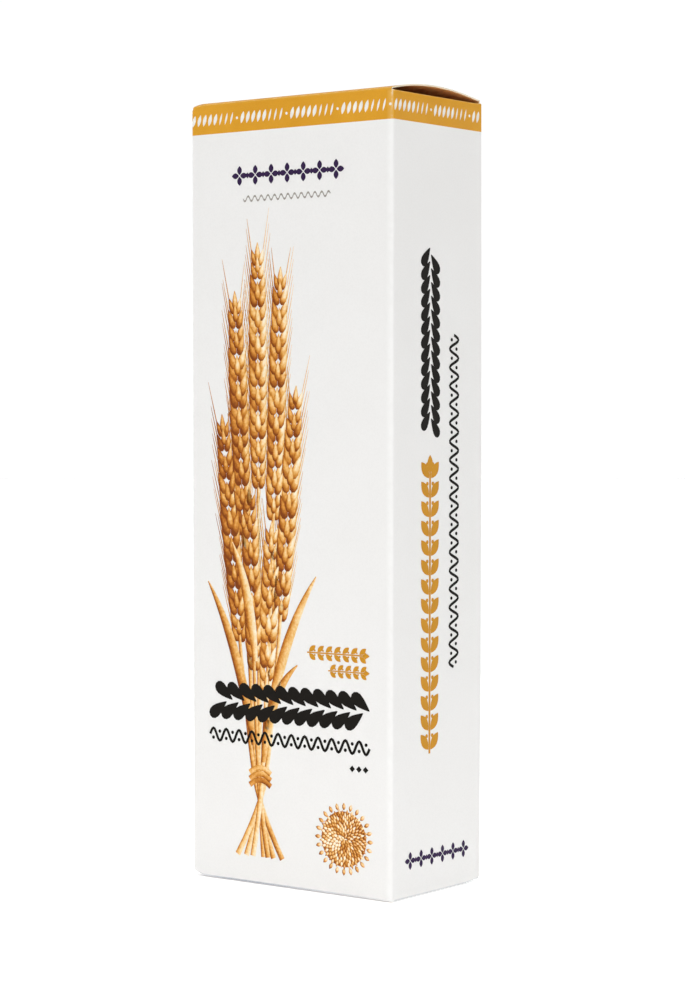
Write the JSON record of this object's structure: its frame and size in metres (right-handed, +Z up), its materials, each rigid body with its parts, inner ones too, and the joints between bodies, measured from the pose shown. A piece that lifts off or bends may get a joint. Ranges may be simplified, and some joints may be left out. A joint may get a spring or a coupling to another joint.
{
  "type": "breadstick carton",
  "caption": "Tall shut tuck-end paperboard carton for breadsticks, with creased folds, a lid that bows up over its dust flaps, and a flat closed base.",
  "frame": {"origin": "middle of the closed base, on the surface the carton stands on", "axes": "+Z up the carton, -Y out of the wide front panel, +X out of a narrow side panel"},
  "size_m": [0.0912, 0.054, 0.2827],
  "materials": {
    "coated_board": "satin",
    "mustard_print": "satin",
    "aubergine_print": "satin",
    "black_print": "satin",
    "golden_print": "satin",
    "pale_print": "satin",
    "raw_board": "matte"
  },
  "bodies": {
    "root": {"carton": "coated_board"}
  },
  "joints": []
}
